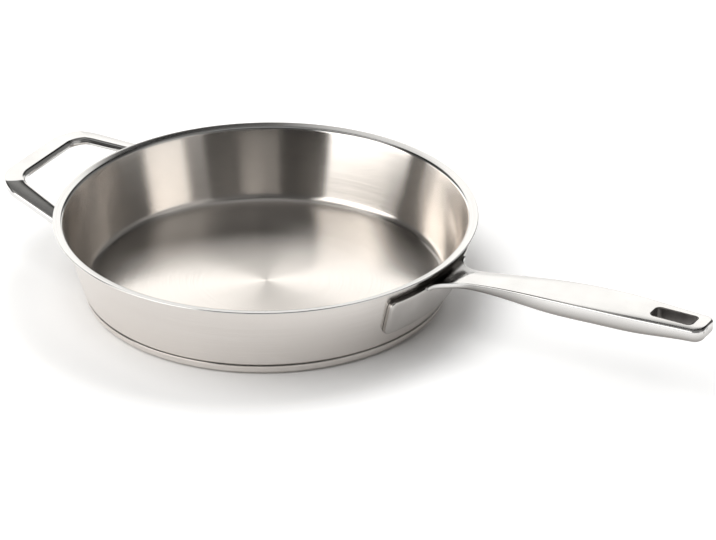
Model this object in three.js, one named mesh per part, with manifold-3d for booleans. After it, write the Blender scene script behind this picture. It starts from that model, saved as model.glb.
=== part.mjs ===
// A 28 cm frying pan of stainless steel: a drawn bowl with a flared lip, a base that holds an aluminium core
// in a pressed capsule, a hollow long handle welded on by a flange, and a loop handle welded on opposite.
// Millimetres, +Z up. The origin is the centre of the underside, and the long handle runs along +X.

import * as THREE from "three";
import { mergeVertices } from "three/addons/utils/BufferGeometryUtils.js";
import Module from "manifold-3d";

const wasm = await Module();
wasm.setup();

const { degToRad, lerp, smoothstep, clamp } = THREE.MathUtils;

// Bowl
const rimInnerRadius = 140;
const bowlHeight = 57.3;
const bowlSheet = 1;
const wallTaper = degToRad(15.9);
const floorFillet = 7;
const lipWidth = 4.45;
const lipSlope = degToRad(11.5);
const lipBendRadius = 2;

// Base
const capSheet = 0.6;
const capEdgeRadius = 5;
const coreThickness = 4.2;

// Plates that carry both handles, welded flat to the wall
const plateThickness = 3.7;
const plateBottom = 18.5;
const plateCorner = 5;
const plateEdgeBreak = 0.8;
const flangeTop = 46;
const flangeHalfAngle = degToRad(22.7);
const footTop = 49;
const footHalfAngle = degToRad(6.6);

// Long handle, with lengths measured from the flange
const handleLength = 192;
const handleRootTop = 47.2;
const handleTurnUp = 8;
const gripTop = 58.3;
const archLength = 145;
const neckWidth = 20.6;
const gripWidth = 33;
const tipWidth = 25;
const neckLength = 18;
const swellLength = 92;
const tipTaperLength = 68;
const gripDepth = 12.5;
const tipDepth = 9;
const deepenStart = 8;
const deepenLength = 84;
const thinningLength = 55;
const rootLift = 1.4;
const rootLiftLength = 11;
const rootFlareLength = 22;
const rootFlareWidth = 15.5;
const rootSweepShare = 0.4;
const rootEdge = 0.9;
const tipCorner = 7;
const handleCrown = 1.2;
const undersideShare = 0.42;
const coverSheet = 1.2;
const coverEdgeWidth = 1.5;
const coverEdgeDrop = 0.7;
const coverRootShare = 0.2;
const troughWall = 1.2;

// Stiffening tongue inside the neck of the long handle
const tongueWidth = 14;
const tongueThickness = 1.6;
const tongueLength = 70;

// Slot that the pan hangs by, and the sleeve that lines it
const slotLength = 29;
const slotWidth = 12;
const slotCorner = 4.5;
const slotMargin = 10;
const sleeveWall = 0.8;

// Loop handle
const loopReach = 192;
const loopTop = 57.8;
const loopBarWidth = 15;
const loopRootWidth = 12;
const loopThickness = 5;
const loopEdge = 2.2;
const loopHalfSpan = 41.8;
const loopSpread = degToRad(16.6);
const loopBend = 24;
const loopCreaseShift = 5;
const loopRootTop = 49;

// Clearance between welded pieces
const seatGap = 0.3;

// Facets
const turnSegments = 72;
const bendSteps = 5;
const crownSteps = 6;
const edgeSteps = 4;
const gripSteps = 20;
const loopBendSteps = 4;
const barEdgeSteps = 2;
const weldTolerance = 1e-4;

const steel = { color: 0xc9c7c4, roughness: 0.28, metalness: 1 };
const polished = { color: 0xe0dfdd, roughness: 0.12, metalness: 1 };
const darkened = { color: 0x7b7774, roughness: 0.35, metalness: 1 };
const aluminium = { color: 0xb9bcc0, roughness: 0.5, metalness: 1 };

const pan = new THREE.Group();
const loopSide = new THREE.Group();
loopSide.rotation.z = Math.PI;
pan.add(loopSide);

function toSolid(geometry) {
  geometry.deleteAttribute("normal");
  geometry.deleteAttribute("uv");
  const merged = mergeVertices(geometry, weldTolerance);
  const corners = merged.index.array;
  const triangles = [];
  for (let i = 0; i < corners.length; i += 3) {
    const [a, b, c] = corners.slice(i, i + 3);
    if (a !== b && b !== c && c !== a) {
      triangles.push(a, b, c);
    }
  }
  const mesh = new wasm.Mesh({
    numProp: 3,
    vertProperties: merged.attributes.position.array,
    triVerts: new Uint32Array(triangles),
  });
  return new wasm.Manifold(mesh);
}

function addPiece(name, solid, finish, parent = pan) {
  const { vertProperties, triVerts } = solid.getMesh();
  const geometry = new THREE.BufferGeometry();
  geometry.setAttribute("position", new THREE.BufferAttribute(vertProperties, 3));
  geometry.setIndex(new THREE.BufferAttribute(triVerts, 1));
  geometry.computeVertexNormals();
  const mesh = new THREE.Mesh(geometry, new THREE.MeshStandardMaterial(finish));
  mesh.name = name;
  parent.add(mesh);
}

function ellipse(centre, radii, from, to, steps = bendSteps) {
  return new THREE.EllipseCurve(centre.x, centre.y, radii.x, radii.y, from, to, to < from).getPoints(steps);
}

function arc(centre, radius, from, to, steps) {
  return ellipse(centre, { x: radius, y: radius }, from, to, steps);
}

function along(point, direction, distance) {
  return point.clone().addScaledVector(direction, distance);
}

function revolve(profile) {
  const geometry = new THREE.LatheGeometry(profile, turnSegments);
  geometry.rotateX(Math.PI / 2);
  return toSolid(geometry);
}

// Skins a row of rings that all have the same number of points, and closes the two ends.
function loft(sections, place) {
  const count = sections[0].length;
  const vertices = sections.flatMap((section, row) => section.map((point) => place(point, row)));
  const geometry = new THREE.BufferGeometry().setFromPoints(vertices);
  const index = [];
  for (let row = 0; row + 1 < sections.length; row += 1) {
    for (let k = 0; k < count; k += 1) {
      const next = (k + 1) % count;
      const [a, b] = [row * count + k, row * count + next];
      index.push(a, b, a + count, b, b + count, a + count);
    }
  }
  const last = (sections.length - 1) * count;
  for (const [a, b, c] of THREE.ShapeUtils.triangulateShape(sections[0], [])) {
    index.push(a, c, b);
  }
  for (const [a, b, c] of THREE.ShapeUtils.triangulateShape(sections.at(-1), [])) {
    index.push(last + a, last + b, last + c);
  }
  geometry.setIndex(index);
  return toSolid(geometry);
}

// Bowl: the wall runs from the floor's fillet to the bend under the lip.
const wallNormal = new THREE.Vector2(Math.cos(wallTaper), -Math.sin(wallTaper));
const lipAlong = new THREE.Vector2(Math.cos(lipSlope), Math.sin(lipSlope));
const lipNormal = new THREE.Vector2(-lipAlong.y, lipAlong.x);
const lipAngle = Math.PI / 2 + lipSlope;
const wallAngle = Math.PI - wallTaper;

const floorTop = capSheet + coreThickness + bowlSheet;
const floorUnderside = floorTop - bowlSheet;
const lipInner = new THREE.Vector2(rimInnerRadius, bowlHeight - lipWidth * lipAlong.y);
const lipOuter = along(lipInner, lipAlong, lipWidth);
const bendCentre = along(lipInner, lipNormal, -(lipBendRadius + bowlSheet));
const wallTopInside = along(bendCentre, wallNormal, -(lipBendRadius + bowlSheet));
const wallTopOutside = along(bendCentre, wallNormal, -lipBendRadius);

const filletHeight = floorTop + floorFillet;
const filletRun = floorFillet - (filletHeight - wallTopInside.y) * Math.sin(wallTaper);
const filletCentre = new THREE.Vector2(wallTopInside.x - filletRun / Math.cos(wallTaper), filletHeight);
const cornerRadius = floorFillet + bowlSheet;

function wallRadius(height) {
  return wallTopOutside.x + (height - wallTopOutside.y) * Math.tan(wallTaper);
}

const lipEdgeCentre = along(lipOuter, lipNormal, -bowlSheet / 2);
const bowlProfile = [
  new THREE.Vector2(0, floorUnderside),
  ...arc(filletCentre, cornerRadius, -Math.PI / 2, -wallTaper),
  ...arc(bendCentre, lipBendRadius, wallAngle, lipAngle),
  ...arc(lipEdgeCentre, bowlSheet / 2, lipAngle - Math.PI, lipAngle, edgeSteps),
  ...arc(bendCentre, lipBendRadius + bowlSheet, lipAngle, wallAngle),
  ...arc(filletCentre, floorFillet, -wallTaper, -Math.PI / 2),
  new THREE.Vector2(0, floorTop),
];
addPiece("pan_shell", revolve(bowlProfile), steel);

// Base capsule: its side carries on the line of the wall, and its rim closes on the bowl's corner.
const capSideStart = capEdgeRadius * (1 - Math.sin(wallTaper));
const capFlatRadius = wallRadius(capSideStart) - capEdgeRadius * Math.cos(wallTaper);
const capEdgeCentre = new THREE.Vector2(capFlatRadius, capEdgeRadius);
const closingTurn = Math.acos(1 - (capSheet + seatGap) / cornerRadius);
const closingAngle = -wallTaper - closingTurn;
const closingPoint = filletCentre.clone().add(
  new THREE.Vector2(Math.cos(closingAngle), Math.sin(closingAngle)).multiplyScalar(cornerRadius),
);
const capProfile = [
  new THREE.Vector2(0, 0),
  ...arc(capEdgeCentre, capEdgeRadius, -Math.PI / 2, -wallTaper),
  along(closingPoint, wallNormal, seatGap + capSheet),
  along(closingPoint, wallNormal, seatGap),
  ...arc(capEdgeCentre, capEdgeRadius - capSheet, -wallTaper, -Math.PI / 2),
  new THREE.Vector2(0, capSheet),
];
addPiece("base_cap", revolve(capProfile), steel);

// Base core: it fills the capsule up to the underside of the bowl's floor.
const coreEdgeCentre = new THREE.Vector2(capFlatRadius - seatGap, capEdgeRadius);
const coreEdgeRadius = capEdgeRadius - capSheet;
const coreTopTurn = Math.asin(clamp((floorUnderside - capEdgeRadius) / coreEdgeRadius, -1, 0));
const coreProfile = [
  new THREE.Vector2(0, capSheet),
  ...arc(coreEdgeCentre, coreEdgeRadius, -Math.PI / 2, coreTopTurn),
  new THREE.Vector2(0, floorUnderside),
];
addPiece("base_core", revolve(coreProfile), aluminium);

// Plates: a band that follows the wall, cut to a panel whose ends are radial.
const plateInner = seatGap / Math.cos(wallTaper);
const plateOuter = plateInner + plateThickness / Math.cos(wallTaper);

function wallBand(bottom, top) {
  const edge = plateEdgeBreak;
  const outline = [
    new THREE.Vector2(wallRadius(bottom) + plateInner, bottom),
    new THREE.Vector2(wallRadius(bottom) + plateOuter - edge, bottom),
    new THREE.Vector2(wallRadius(bottom + edge) + plateOuter, bottom + edge),
    new THREE.Vector2(wallRadius(top - edge) + plateOuter, top - edge),
    new THREE.Vector2(wallRadius(top) + plateOuter - edge, top),
    new THREE.Vector2(wallRadius(top) + plateInner, top),
  ];
  return revolve([...outline, outline[0]]);
}

function wallPlate(halfAngle, top) {
  const reference = wallRadius(top);
  const half = reference * Math.tan(halfAngle);
  const [cornerOut, cornerLow] = [half - plateCorner, plateBottom + plateCorner];
  const cornerHigh = top + plateEdgeBreak - plateCorner;
  const panel = new THREE.Shape();
  panel.absarc(-cornerOut, cornerHigh, plateCorner, Math.PI / 2, Math.PI);
  panel.absarc(-cornerOut, cornerLow, plateCorner, Math.PI, Math.PI * 1.5);
  panel.absarc(cornerOut, cornerLow, plateCorner, -Math.PI / 2, 0);
  panel.absarc(cornerOut, cornerHigh, plateCorner, 0, Math.PI / 2);
  const start = capFlatRadius * Math.cos(halfAngle) / 2;
  const depth = reference + 2 * plateOuter - start;
  const wedge = new THREE.ExtrudeGeometry(panel, { depth, bevelEnabled: false, curveSegments: bendSteps });
  const [acrossX, acrossY, acrossZ] = [0, 1, 2].map((axis) => new THREE.Vector3().setComponent(axis, 1));
  wedge.applyMatrix4(new THREE.Matrix4().makeBasis(acrossY, acrossZ, acrossX).setPosition(start, 0, 0));
  const position = wedge.attributes.position;
  for (let i = 0; i < position.count; i += 1) {
    position.setY(i, position.getY(i) * position.getX(i) / reference);
  }
  return wallBand(plateBottom, top).intersect(toSolid(wedge));
}

addPiece("handle_flange", wallPlate(flangeHalfAngle, flangeTop), polished);

// Everything that meets a plate is trimmed to this cone, which stands clear of the plates' outer face.
const trimTop = gripTop + gripDepth;
const trimCone = revolve([
  new THREE.Vector2(0, 0),
  new THREE.Vector2(wallRadius(0) + plateOuter + plateInner, 0),
  new THREE.Vector2(wallRadius(trimTop) + plateOuter + plateInner, trimTop),
  new THREE.Vector2(0, trimTop),
]);

// Long handle: width, height and depth vary along it, from a thin neck to a full grip.
const handleRoot = wallRadius(handleRootTop) + plateOuter;
const handleTip = handleRoot + handleLength;
const seam = coverSheet + seatGap;
const neckDepth = seam + tongueThickness + seatGap + troughWall;

// The top line dips away from the flange, then turns up into an arch.
function climbAfter(run) {
  return Math.hypot(run, handleTurnUp) - handleTurnUp;
}

function handleTopAt(x) {
  const run = clamp(x - handleRoot, 0, archLength);
  const rest = 1 - climbAfter(run) / climbAfter(archLength);
  const lift = clamp(1 - run / rootLiftLength, 0, 1);
  return gripTop - (gripTop - handleRootTop) * rest * rest + rootLift * lift * lift;
}

function rootFlareAt(x) {
  const intoFlare = clamp(1 - (x - handleRoot) / rootFlareLength, 0, 1);
  return rootFlareWidth * (1 - Math.sqrt(1 - intoFlare ** 2));
}

function handleHalfWidthAt(x) {
  const swellStart = handleRoot + neckLength;
  const swell = smoothstep(x, swellStart, swellStart + swellLength);
  const taper = smoothstep(x, handleTip - tipTaperLength, handleTip);
  const width = lerp(lerp(neckWidth, gripWidth, swell), tipWidth, taper);
  const intoTip = clamp(x - (handleTip - tipCorner), 0, tipCorner);
  const rounding = tipCorner - Math.sqrt(tipCorner ** 2 - intoTip ** 2);
  return width / 2 + rootFlareAt(x) - rounding;
}

function handleDepthAt(x) {
  const deepen = smoothstep(x, handleRoot + deepenStart, handleRoot + deepenStart + deepenLength);
  const thin = smoothstep(x, handleTip - thinningLength, handleTip);
  return lerp(lerp(neckDepth, gripDepth, deepen), tipDepth, thin);
}

// Sections lie closer together in the root's flare and round the tip's corners. The first one lies inside
// the flange, so that the handle can be trimmed to it.
const rootRun = -rootFlareLength / 2;
const gripEnd = handleLength - tipCorner;
const gripStep = (gripEnd - rootFlareLength) / gripSteps;
const flareRuns = arc({ x: rootFlareLength, y: 0 }, rootFlareLength, Math.PI, Math.PI / 2).map(({ x }) => x);
const gripRuns = Array.from({ length: gripSteps - 1 }, (_, i) => rootFlareLength + gripStep * (i + 1));
const tipRuns = arc({ x: gripEnd, y: 0 }, tipCorner, Math.PI / 2, 0).map(({ x }) => x);
const stations = [rootRun, ...flareRuns, ...gripRuns, ...tipRuns].map((run) => handleRoot + run);

function crownRow(half, height) {
  return Array.from({ length: crownSteps + 1 }, (_, i) => {
    const across = 1 - 2 * i / crownSteps;
    return new THREE.Vector2(half * across, height + handleCrown * (1 - across * across));
  });
}

function gripRoundAt(x) {
  return Math.min(handleDepthAt(x) * undersideShare, handleHalfWidthAt(x));
}

// The underside sweeps up to thin edges where the root flares out against the flange.
function undersideRoundAt(x) {
  const round = gripRoundAt(x);
  const flare = rootFlareAt(x);
  const side = handleDepthAt(x) - seam - rootEdge;
  return new THREE.Vector2(round + flare * rootSweepShare, lerp(round, side, flare / rootFlareWidth));
}

// A crowned top, upright sides and a rounded underside.
function bodySection(half, top, bottom, round) {
  return [
    ...ellipse({ x: half - round.x, y: bottom + round.y }, round, -Math.PI / 2, 0, edgeSteps),
    ...crownRow(half, top),
    ...ellipse({ x: round.x - half, y: bottom + round.y }, round, Math.PI, Math.PI * 1.5, edgeSteps),
  ];
}

// A crowned sheet whose upper edges are eased, less so where they run out into the root's flare.
function coverSection(x) {
  const [half, top] = [handleHalfWidthAt(x), handleTopAt(x)];
  const ease = lerp(coverRootShare, 1, smoothstep(x, handleRoot, handleRoot + rootFlareLength));
  const edgeTop = top - coverEdgeDrop * ease;
  return [
    new THREE.Vector2(half, edgeTop),
    ...crownRow(half - coverEdgeWidth * ease, top),
    new THREE.Vector2(-half, edgeTop),
    ...crownRow(half, top - coverSheet).reverse(),
  ];
}

function handleLoft(rows, sectionAt) {
  return loft(rows.map(sectionAt), (point, row) => new THREE.Vector3(rows[row], point.x, point.y));
}

function handleBody(topDrop) {
  return handleLoft(stations, (x) => {
    const top = handleTopAt(x);
    return bodySection(handleHalfWidthAt(x), top - topDrop, top - handleDepthAt(x), undersideRoundAt(x));
  });
}

const envelope = handleBody(0);
const troughBody = handleBody(seam);
const cover = handleLoft(stations, coverSection);

// The hollow is as narrow as the tongue in the neck and opens out with the grip.
const hollowEnd = handleTip - tipCorner;
const hollowStations = stations.filter((x) => x < hollowEnd);
const hollow = handleLoft(hollowStations, (x) => {
  const opening = smoothstep(x, handleRoot + neckLength, handleRoot + neckLength + swellLength / 2);
  const half = lerp(tongueWidth / 2 + seatGap, handleHalfWidthAt(x) - troughWall, opening);
  const round = Math.max(gripRoundAt(x) - troughWall, seatGap);
  const floor = handleTopAt(x) - handleDepthAt(x) + troughWall;
  return bodySection(half, handleTopAt(x), floor, new THREE.Vector2(round, round));
});

function slotPrism(grow) {
  const half = new THREE.Vector2(slotLength / 2 + grow, slotWidth / 2 + grow);
  const corner = slotCorner + grow;
  const outline = new THREE.Shape();
  outline.absarc(half.x - corner, half.y - corner, corner, 0, Math.PI / 2);
  outline.absarc(corner - half.x, half.y - corner, corner, Math.PI / 2, Math.PI);
  outline.absarc(corner - half.x, corner - half.y, corner, Math.PI, Math.PI * 1.5);
  outline.absarc(half.x - corner, corner - half.y, corner, Math.PI * 1.5, Math.PI * 2);
  outline.closePath();
  const prism = new THREE.ExtrudeGeometry(outline, {
    depth: trimTop,
    bevelEnabled: false,
    curveSegments: bendSteps,
  });
  prism.translate(handleTip - slotMargin - slotLength / 2, 0, 0);
  return toSolid(prism);
}

const sleeveSeat = slotPrism(sleeveWall + seatGap);
addPiece("handle_cover", cover.subtract(sleeveSeat).subtract(trimCone), polished);
addPiece("handle_trough", troughBody.subtract(hollow).subtract(sleeveSeat).subtract(trimCone), polished);
addPiece("hang_sleeve", slotPrism(sleeveWall).subtract(slotPrism(0)).intersect(envelope), darkened);

// Tongue: it lies under the cover from the flange into the grip.
const tongueStations = stations.filter((x) => x < handleRoot + tongueLength);
const tongue = handleLoft(tongueStations, (x) => {
  const top = handleTopAt(x) - seam;
  return [
    new THREE.Vector2(-tongueWidth / 2, top - tongueThickness),
    new THREE.Vector2(tongueWidth / 2, top - tongueThickness),
    new THREE.Vector2(tongueWidth / 2, top),
    new THREE.Vector2(-tongueWidth / 2, top),
  ];
});
addPiece("handle_tongue", tongue.subtract(trimCone), steel);

// Loop handle: a flat bar bent round in plan, level at the grip and creased just past each corner, so that
// the two arms fall towards their feet.
const gripLine = loopReach - loopBarWidth / 2;
const armAlong = new THREE.Vector2(-Math.cos(loopSpread), Math.sin(loopSpread));
const loopCorner = new THREE.Vector2(gripLine, loopHalfSpan);
const loopSwing = Math.PI / 2 - loopSpread;
const bendTangent = loopBend * Math.tan(loopSwing / 2);
const loopBendCentre = new THREE.Vector2(gripLine - loopBend, loopHalfSpan - bendTangent);

const footReach = wallRadius(loopRootTop) + plateOuter;
const cornerRun = -loopCorner.dot(armAlong);
const armLength = cornerRun - Math.sqrt(cornerRun ** 2 - loopCorner.lengthSq() + footReach ** 2);
const armRoot = along(loopCorner, armAlong, armLength);
const footAngle = Math.atan2(armRoot.y, armRoot.x);

const crease = new THREE.Vector2(1 + Math.sin(loopSpread), Math.cos(loopSpread)).normalize();
const fall = new THREE.Vector2(-crease.y, crease.x);

function pastCrease(plan) {
  return plan.clone().sub(loopCorner).dot(fall) - loopCreaseShift;
}

const armGrade = (loopTop - loopRootTop) / pastCrease(armRoot);

// Rows across one half of the bar, from the root of an arm to the start of the grip. On the bend, each
// point's turn depends on its radius, so that the middle row lies along the crease.
const rootEnd = along(armRoot, armAlong, plateOuter);
const armInward = new THREE.Vector2(-armAlong.y, armAlong.x);

function bendPoint(step, inward) {
  const radius = loopBend - inward;
  const creaseTurn = loopSwing / 2 + Math.asin(loopCreaseShift / radius);
  const turn = step < 0 ? lerp(creaseTurn, loopSwing, -step) : lerp(creaseTurn, 0, step);
  return along(loopBendCentre, new THREE.Vector2(Math.cos(turn), Math.sin(turn)), radius);
}

const bendRows = Array.from({ length: 2 * loopBendSteps + 1 }, (_, i) => ({
  width: loopBarWidth,
  planAt: (inward) => bendPoint(i / loopBendSteps - 1, inward),
}));
const rootRow = { width: loopRootWidth, planAt: (inward) => along(rootEnd, armInward, inward) };
const halfRows = [rootRow, ...bendRows];
const loopRows = [
  ...halfRows.map((row) => ({ ...row, side: -1 })),
  ...halfRows.map((row) => ({ ...row, side: 1 })).reverse(),
];

function barSection(width) {
  const [half, edge] = [width / 2, loopEdge];
  return [
    ...arc({ x: half - edge, y: edge - loopThickness }, edge, -Math.PI / 2, 0, barEdgeSteps),
    ...arc({ x: half - edge, y: -edge }, edge, 0, Math.PI / 2, barEdgeSteps),
    ...arc({ x: edge - half, y: -edge }, edge, Math.PI / 2, Math.PI, barEdgeSteps),
    ...arc({ x: edge - half, y: edge - loopThickness }, edge, Math.PI, Math.PI * 1.5, barEdgeSteps),
  ];
}

const loop = loft(loopRows.map(({ width }) => barSection(width)), (point, row) => {
  const { planAt, side } = loopRows[row];
  const plan = planAt(point.x);
  const top = loopTop - armGrade * Math.max(0, pastCrease(plan));
  return new THREE.Vector3(plan.x, side * plan.y, top + point.y);
});
addPiece("loop_handle", loop.subtract(trimCone), polished, loopSide);

for (const [side, turn] of [["right", footAngle], ["left", -footAngle]]) {
  const foot = wallPlate(footHalfAngle, footTop).rotate([0, 0, turn * THREE.MathUtils.RAD2DEG]);
  addPiece(`loop_foot_${side}`, foot, polished, loopSide);
}

export default pan;
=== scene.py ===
import math

import bmesh
import bpy
import numpy as np
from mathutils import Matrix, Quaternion, Vector


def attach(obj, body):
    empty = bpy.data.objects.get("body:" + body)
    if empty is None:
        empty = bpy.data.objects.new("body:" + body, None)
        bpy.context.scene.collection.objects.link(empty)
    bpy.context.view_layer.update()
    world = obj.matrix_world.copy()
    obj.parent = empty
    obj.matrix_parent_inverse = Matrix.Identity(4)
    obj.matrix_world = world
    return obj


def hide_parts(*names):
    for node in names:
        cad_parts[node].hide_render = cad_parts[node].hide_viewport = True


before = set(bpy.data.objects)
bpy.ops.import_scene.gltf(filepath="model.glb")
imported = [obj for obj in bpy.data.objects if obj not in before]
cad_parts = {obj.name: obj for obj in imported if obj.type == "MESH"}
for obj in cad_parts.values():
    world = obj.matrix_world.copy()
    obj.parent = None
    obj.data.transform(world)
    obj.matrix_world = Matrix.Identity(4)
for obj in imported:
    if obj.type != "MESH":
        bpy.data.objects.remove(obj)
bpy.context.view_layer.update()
print("frame loaded,", len(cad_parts), "nodes")

mm = 0.001
quarterTurn = math.pi / 2
fullTurn = math.pi * 2
seatGap = 0.3 * mm  # clearance between welded pieces
mergeDistance = 0.002 * mm  # points closer than this become one
sharpAngle = math.radians(38.0)  # edges that turn further than this stay sharp


# small helpers

def mix(a, b, t):
    return a + (b - a) * t


def limit(x, low, high):
    return min(max(x, low), high)


def smoothStep(x, low, high):
    t = limit((x - low) / (high - low), 0.0, 1.0)
    return t * t * (3.0 - 2.0 * t)


def spread(start, end, steps):
    return [start + (end - start) * i / steps for i in range(steps + 1)]


def arcPoints(centre, radius, start, end, steps):
    angles = spread(start, end, steps)
    return [(centre[0] + radius * math.cos(a), centre[1] + radius * math.sin(a)) for a in angles]


def straight(start, end, steps):
    # the points between two ends, without the ends
    return [(mix(start[0], end[0], i / steps), mix(start[1], end[1], i / steps)) for i in range(1, steps)]


def along(point, direction, distance):
    return (point[0] + direction[0] * distance, point[1] + direction[1] * distance)


def pointing(azimuth, elevation):
    flat = math.cos(elevation)
    return Vector((flat * math.cos(azimuth), flat * math.sin(azimuth), math.sin(elevation)))


def easing(distance, width, depth):
    # quarter ellipse that falls from a face to its edge
    past = limit(1 - distance / width, 0.0, 1.0)
    return depth * (1 - math.sqrt(1 - past * past))


def addObject(name, data):
    added = bpy.data.objects.new(name, data)
    bpy.context.scene.collection.objects.link(added)
    return added


def meshObject(name, verts, faces, edges=()):
    mesh = bpy.data.meshes.new(name)
    mesh.from_pydata([tuple(v) for v in verts], list(edges), faces)
    mesh.update()
    return addObject(name, mesh)


def facesOut(piece):
    shape = bmesh.new()
    shape.from_mesh(piece.data)
    bmesh.ops.recalc_face_normals(shape, faces=shape.faces)
    shape.to_mesh(piece.data)
    shape.free()


def loftPiece(name, rings):
    # skins a stack of equal rings and closes both ends
    count = len(rings[0])
    faces = []
    for row in range(len(rings) - 1):
        for k in range(count):
            a, b = row * count + k, row * count + (k + 1) % count
            faces.append((a, b, b + count, a + count))
    last = (len(rings) - 1) * count
    faces.append(tuple(range(count - 1, -1, -1)))
    faces.append(tuple(range(last, last + count)))
    piece = meshObject(name, [point for ring in rings for point in ring], faces)
    facesOut(piece)
    return piece


def bakeModifiers(piece):
    # turns the evaluated shape into the piece's own plain mesh
    bpy.context.view_layer.update()
    evaluated = piece.evaluated_get(bpy.context.evaluated_depsgraph_get())
    mesh = bpy.data.meshes.new_from_object(evaluated)
    piece.modifiers.clear()
    piece.data = mesh
    mesh.name = piece.name


def cutBy(piece, *tools):
    for tool in tools:
        cut = piece.modifiers.new("cut", "BOOLEAN")
        cut.operation = "DIFFERENCE"
        cut.solver = "EXACT"
        cut.object = tool
    bakeModifiers(piece)


def smoothShade(piece):
    shape = bmesh.new()
    shape.from_mesh(piece.data)
    bmesh.ops.remove_doubles(shape, verts=shape.verts, dist=mergeDistance)
    bmesh.ops.dissolve_degenerate(shape, edges=shape.edges, dist=mergeDistance)
    for face in shape.faces:
        face.smooth = True
    for edge in shape.edges:
        edge.smooth = len(edge.link_faces) == 2 and edge.calc_face_angle(0.0) < sharpAngle
    shape.to_mesh(piece.data)
    shape.free()


def dress(piece, material):
    piece.data.materials.clear()
    piece.data.materials.append(material)


def standIn(piece, slot, *nodes):
    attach(piece, "root")
    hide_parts(*nodes)
    print("piece", piece.name, len(piece.data.polygons), "faces")


# camera, matched to the photograph

view = {
    "target": (0.07032, 0.00361, 0.030),
    "azimuth": math.radians(-60.0),
    "elevation": math.radians(27.46),
    "distance": 2.7066,
    "roll": math.radians(-0.26),
    "lens": 201.1,
    "sensor": 36.0,
}

outward = pointing(view["azimuth"], view["elevation"])
cameraData = bpy.data.cameras.new("photoCamera")
cameraData.lens = view["lens"]
cameraData.sensor_width = view["sensor"]
camera = addObject("photoCamera", cameraData)
camera.location = Vector(view["target"]) + outward * view["distance"]
camera.rotation_mode = "QUATERNION"
camera.rotation_quaternion = outward.to_track_quat("Z", "Y") @ Quaternion((0, 0, 1), view["roll"])
bpy.context.scene.camera = camera
print("camera set")


# nodes

noiseSpan = (0.3, 0.7)  # where most values of a noise lie


def feed(tree, node, inputs):
    for key, value in inputs.items():
        if isinstance(value, bpy.types.NodeSocket):
            tree.links.new(value, node.inputs[key])
        else:
            node.inputs[key].default_value = value


def addNode(tree, kind, inputs=None, **settings):
    node = tree.nodes.new(kind)
    for key, value in settings.items():
        setattr(node, key, value)
    feed(tree, node, inputs or {})
    return node


def emptyTree(owner):
    owner.use_nodes = True
    owner.node_tree.nodes.clear()
    return owner.node_tree


def calc(tree, operation, *values):
    return addNode(tree, "ShaderNodeMath", dict(enumerate(values)), operation=operation).outputs["Value"]


def vectorCalc(tree, operation, output, inputs):
    return addNode(tree, "ShaderNodeVectorMath", inputs, operation=operation).outputs[output]


def axesOf(tree, vector):
    return addNode(tree, "ShaderNodeSeparateXYZ", {"Vector": vector}).outputs


def vectorOf(tree, axes):
    return addNode(tree, "ShaderNodeCombineXYZ", axes).outputs["Vector"]


def objectPlace(tree):
    return addNode(tree, "ShaderNodeTexCoord").outputs["Object"]


def rangeOf(tree, value, low, high, span=noiseSpan, shape="LINEAR"):
    return addNode(tree, "ShaderNodeMapRange", {
        "Value": value, "From Min": span[0], "From Max": span[1], "To Min": low, "To Max": high,
    }, interpolation_type=shape).outputs["Result"]


def tintOf(tree, value, dark, light):
    ramp = addNode(tree, "ShaderNodeValToRGB", {"Fac": value})
    for element, position, colour in zip(ramp.color_ramp.elements, noiseSpan, (dark, light)):
        element.position = position
        element.color = (*colour, 1.0)
    return ramp.outputs["Color"]


def noiseOf(tree, place, scale, detail=2.0, rough=0.5):
    return addNode(tree, "ShaderNodeTexNoise", {
        "Vector": place, "Scale": scale, "Detail": detail, "Roughness": rough,
    }).outputs["Fac"]


def blend(tree, share, first, second):
    # sockets 6 and 7 are the node's two colours, and output 2 is their mix
    node = addNode(tree, "ShaderNodeMix", {"Factor": share, 6: first, 7: second}, data_type="RGBA")
    return node.outputs[2]


# steel finishes

brush = {  # marks round the bowl
    "stretch": 1.5,
    "detail": 3.0,
    "rough": 0.6,
    "depth": 0.02 * mm,
    "roughnessRange": (0.92, 1.08),
}
wipe = {  # marks left by polishing
    "detail": 4.0,
    "rough": 0.6,
    "depth": 0.01 * mm,
    "roughnessRange": (0.8, 1.2),
}
creviceShade = {  # painted shade in the crevice where a handle meets the wall, close to the wall
    "reach": (144.5 * mm, 146.5 * mm),
    "colour": (0.06, 0.055, 0.05),
}
hazeDetail = 3.0


def steelShader(name, anisotropy):
    material = bpy.data.materials.new(name)
    tree = emptyTree(material)
    shader = addNode(tree, "ShaderNodeBsdfPrincipled", {"Metallic": 1.0, "Anisotropic": anisotropy})
    addNode(tree, "ShaderNodeOutputMaterial", {"Surface": shader.outputs["BSDF"]})
    return material, tree, shader


def fromAxis(tree, place):
    # the flat part of a place, its distance from the pan's axis and its height
    axes = axesOf(tree, place)
    flat = vectorOf(tree, {"X": axes["X"], "Y": axes["Y"]})
    return flat, vectorCalc(tree, "LENGTH", "Value", {0: flat}), axes["Z"]


def roundTheAxis(tree, stretch, fine):
    # a space in which noise runs in rings about the pan's axis, with no seam
    flat, reach, height = fromAxis(tree, objectPlace(tree))
    turn = vectorCalc(tree, "NORMALIZE", "Vector", {0: flat})
    swept = vectorCalc(tree, "SCALE", "Vector", {0: turn, "Scale": stretch})
    across = calc(tree, "MULTIPLY", calc(tree, "ADD", reach, height), fine)
    return vectorCalc(tree, "ADD", "Vector", {0: swept, 1: vectorOf(tree, {"Z": across})})


def roughnessOf(tree, value, finish, marks):
    low, high = (finish["roughness"] * share for share in marks["roughnessRange"])
    return rangeOf(tree, value, low, high)


def bumpOf(tree, height, finish, marks):
    return addNode(tree, "ShaderNodeBump", {
        "Strength": finish["bump"], "Distance": marks["depth"], "Height": height,
    }).outputs["Normal"]


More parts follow.
